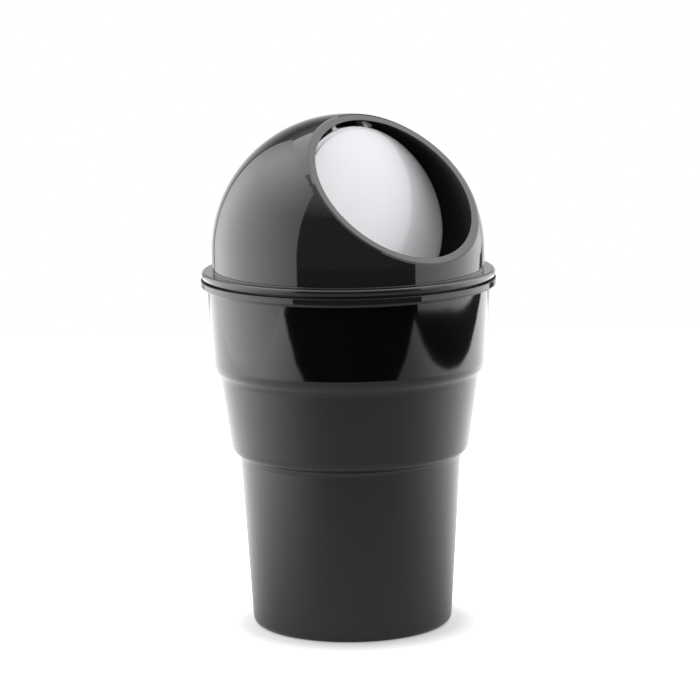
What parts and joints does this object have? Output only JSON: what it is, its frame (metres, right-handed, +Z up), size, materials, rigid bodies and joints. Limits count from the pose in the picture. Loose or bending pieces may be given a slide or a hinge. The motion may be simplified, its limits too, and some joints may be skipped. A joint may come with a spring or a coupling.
{
  "type": "car trash bin",
  "caption": "Small car trash bin: a stepped cup that stands in a cup holder, under a lift-off dome lid with a slanted round mouth and a sprung swing flap.",
  "frame": {"origin": "Centre of the foot ring, on the surface the bin stands on.", "axes": "+Z is up, along the cup's axis. The mouth of the lid faces -Y, tilted upwards. X runs along the flap's hinge pin."},
  "size_m": [0.082, 0.082, 0.1431],
  "materials": {
    "cup_plastic": "dark grey ABS, polished on the top tier and satin on the two lower tiers",
    "lid_plastic": "dark grey ABS, polished",
    "flap_paint": "silver paint under clear lacquer on ABS",
    "pin_steel": "plain drawn steel",
    "spring_steel": "oiled spring wire"
  },
  "bodies": {
    "cup": {"cup": "cup_plastic"},
    "lid": {"dome_lid": "lid_plastic", "hinge_pin": "pin_steel", "torsion_spring": "spring_steel"},
    "flap": {"flap": "flap_paint"}
  },
  "joints": [
    {"name": "lid_lift", "type": "slide", "parent": "cup", "child": "lid", "axis": [0, 0, 1], "range_m": [0, 0.05]},
    {"name": "flap_swing", "type": "hinge", "parent": "lid", "child": "flap", "pos_m": [0, 0.00104, 0.13905], "axis": [1, 0, 0], "range_deg": [0, 60], "stiffness_Nm_per_rad": 0.008, "springref_deg": -57.3, "deforming": ["torsion_spring"]}
  ]
}
